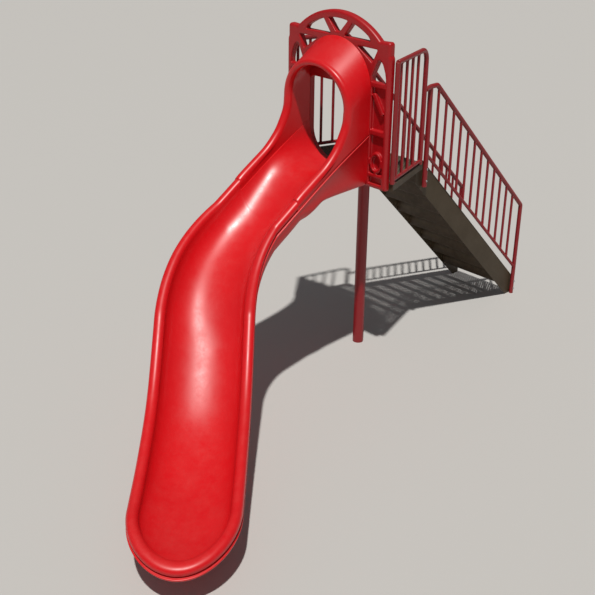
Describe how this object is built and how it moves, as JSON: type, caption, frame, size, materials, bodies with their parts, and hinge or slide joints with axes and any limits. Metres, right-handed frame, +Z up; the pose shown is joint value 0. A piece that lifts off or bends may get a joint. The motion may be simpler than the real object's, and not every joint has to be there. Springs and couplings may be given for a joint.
{
  "type": "freestanding playground slide",
  "caption": "Freestanding playground slide: open stairs with handrails climb to a railed deck on a single post, and a hooded chute leaves it, turning to one side before a rounded exit lip.",
  "frame": {"origin": "centre of the support post's foot on the ground", "axes": "+Z up, -Y the way the chute starts, +Y towards the foot of the stairs, +X the side that the chute turns to"},
  "size_m": [2.4265, 5.61, 3.16],
  "materials": {
    "red_plastic": "glossy moulded polyethylene",
    "red_coated_steel": "satin powder coat",
    "brown_coated_steel": "matt dipped vinyl coat",
    "zinc_plated_bolt": "plated"
  },
  "bodies": {
    "root": {"cap_bolt_front_left": "zinc_plated_bolt", "cap_bolt_front_right": "zinc_plated_bolt", "cap_bolt_rear_left": "zinc_plated_bolt", "cap_bolt_rear_right": "zinc_plated_bolt", "chute_bolt_left": "zinc_plated_bolt", "chute_bolt_right": "zinc_plated_bolt", "deck": "brown_coated_steel", "deck_beam_front": "brown_coated_steel", "deck_beam_rear": "brown_coated_steel", "entrance_panel": "red_plastic", "exit_leg": "red_coated_steel", "guard_bolt_left_front": "zinc_plated_bolt", "guard_bolt_left_rear": "zinc_plated_bolt", "guard_bolt_right_front": "zinc_plated_bolt", "guard_bolt_right_rear": "zinc_plated_bolt", "guardrail_left": "red_coated_steel", "guardrail_right": "red_coated_steel", "handrail_bolt_left_1": "zinc_plated_bolt", "handrail_bolt_left_2": "zinc_plated_bolt", "handrail_bolt_left_3": "zinc_plated_bolt", "handrail_bolt_left_4": "zinc_plated_bolt", "handrail_bolt_right_1": "zinc_plated_bolt", "handrail_bolt_right_2": "zinc_plated_bolt", "handrail_bolt_right_3": "zinc_plated_bolt", "handrail_bolt_right_4": "zinc_plated_bolt", "handrail_left": "red_coated_steel", "handrail_right": "red_coated_steel", "hood_bolt_left": "zinc_plated_bolt", "hood_bolt_right": "zinc_plated_bolt", "leg_bolt_lower": "zinc_plated_bolt", "leg_bolt_upper": "zinc_plated_bolt", "panel_bolt_left_inner": "zinc_plated_bolt", "panel_bolt_left_outer": "zinc_plated_bolt", "panel_bolt_right_inner": "zinc_plated_bolt", "panel_bolt_right_outer": "zinc_plated_bolt", "post_cap_plate": "red_coated_steel", "slide_chute": "red_plastic", "slide_hood": "red_plastic", "stair_step_1": "brown_coated_steel", "stair_step_2": "brown_coated_steel", "stair_step_3": "brown_coated_steel", "stair_step_4": "brown_coated_steel", "stair_step_5": "brown_coated_steel", "stair_step_6": "brown_coated_steel", "stair_step_7": "brown_coated_steel", "stair_step_8": "brown_coated_steel", "stair_stringer_left": "brown_coated_steel", "stair_stringer_right": "brown_coated_steel", "support_post": "red_coated_steel"}
  },
  "joints": []
}
